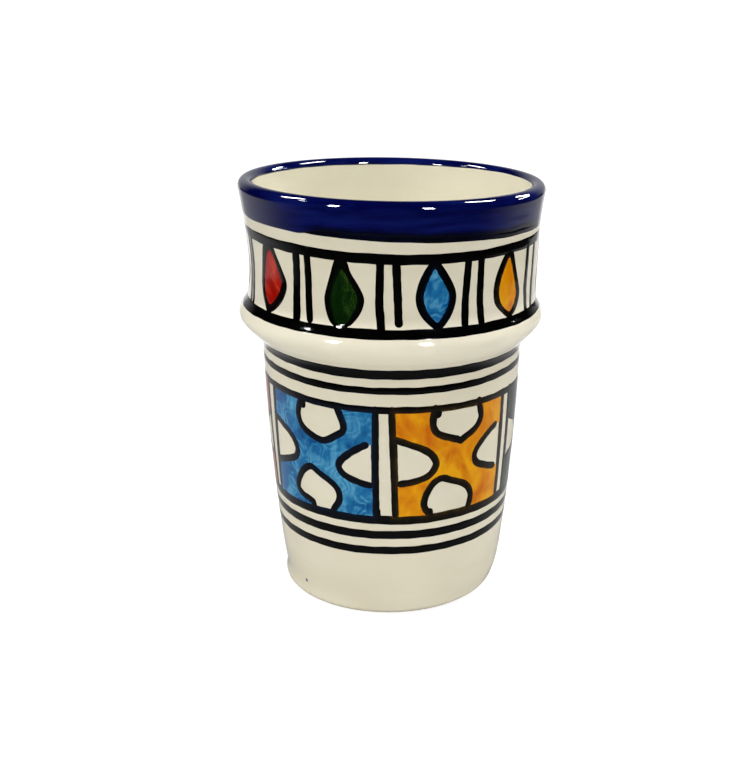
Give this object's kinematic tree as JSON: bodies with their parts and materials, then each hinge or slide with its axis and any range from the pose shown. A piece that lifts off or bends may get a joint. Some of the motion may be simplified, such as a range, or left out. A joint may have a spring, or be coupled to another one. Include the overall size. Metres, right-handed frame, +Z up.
{
  "type": "handleless pottery cup",
  "caption": "Tapered earthenware cup without a handle, with a moulded belt below a flared collar, ivory glaze, a cobalt lip and hand-painted bands, drops and panels.",
  "frame": {"origin": "centre of the foot, on the surface that the cup stands on", "axes": "+Z up along the cup's axis; -Y is the front that the picture shows, with +X to its right"},
  "size_m": [0.0864, 0.0864, 0.1192],
  "materials": {
    "bisque": "matt bare fired clay",
    "ivory_glaze": "glossy opaque glaze",
    "cobalt": "glossy",
    "black_line": "glossy",
    "red_paint": "glossy",
    "green_paint": "glossy",
    "blue_paint": "glossy",
    "yellow_paint": "glossy"
  },
  "bodies": {
    "root": {"clay_body": "bisque", "inner_glaze": "ivory_glaze", "outer_glaze": "ivory_glaze", "cobalt_lip": "cobalt", "lip_line": "black_line", "collar_line": "black_line", "belt_line": "black_line", "neck_line_upper": "black_line", "neck_line_lower": "black_line", "frame_line_top": "black_line", "frame_line_base": "black_line", "hem_line_upper": "black_line", "hem_line_lower": "black_line", "drop_outlines": "black_line", "red_drops": "red_paint", "green_drops": "green_paint", "blue_drops": "blue_paint", "yellow_drops": "yellow_paint", "collar_bars": "black_line", "panel_uprights": "black_line", "lobe_outlines": "black_line", "red_panels": "red_paint", "green_panels": "green_paint", "blue_panels": "blue_paint", "yellow_panels": "yellow_paint"}
  },
  "joints": []
}
